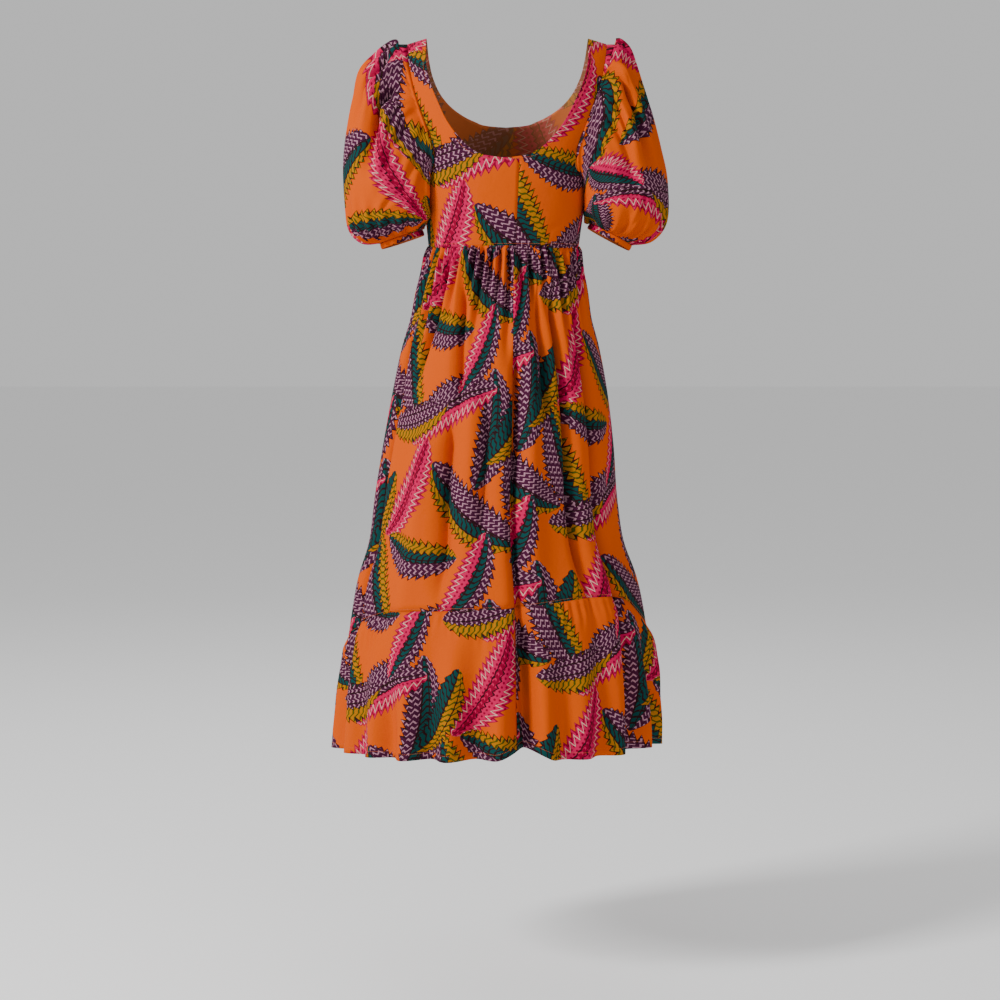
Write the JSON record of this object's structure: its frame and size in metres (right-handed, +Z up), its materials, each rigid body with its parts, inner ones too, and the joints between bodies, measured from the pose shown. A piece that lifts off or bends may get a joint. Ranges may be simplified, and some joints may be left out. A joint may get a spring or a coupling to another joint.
{
  "type": "puff sleeve midi dress",
  "caption": "Worn form of a puff sleeve midi dress with a scooped back, gathered waist and gathered hem ruffle, in a bold leaf print on orange cotton.",
  "frame": {"origin": "midway between the two shoulder straps, at the level where they rest on the shoulders", "axes": "+Z up the wearer, +Y out of the garment's back, +X to the wearer's left"},
  "size_m": [0.5689, 0.4975, 1.1897],
  "materials": {
    "printed_cotton": "printed cotton poplin, matt with a slight sheen",
    "band_cotton": "printed cotton poplin, matt with a slight sheen"
  },
  "bodies": {
    "root": {"bodice_front": "printed_cotton", "bodice_back_left": "printed_cotton", "bodice_back_right": "printed_cotton", "sleeve_left": "printed_cotton", "sleeve_right": "printed_cotton", "cuff_left": "band_cotton", "cuff_right": "band_cotton", "skirt_front": "printed_cotton", "skirt_back_left": "printed_cotton", "skirt_back_right": "printed_cotton", "ruffle_front": "printed_cotton", "ruffle_back_left": "printed_cotton", "ruffle_back_right": "printed_cotton"}
  },
  "joints": []
}
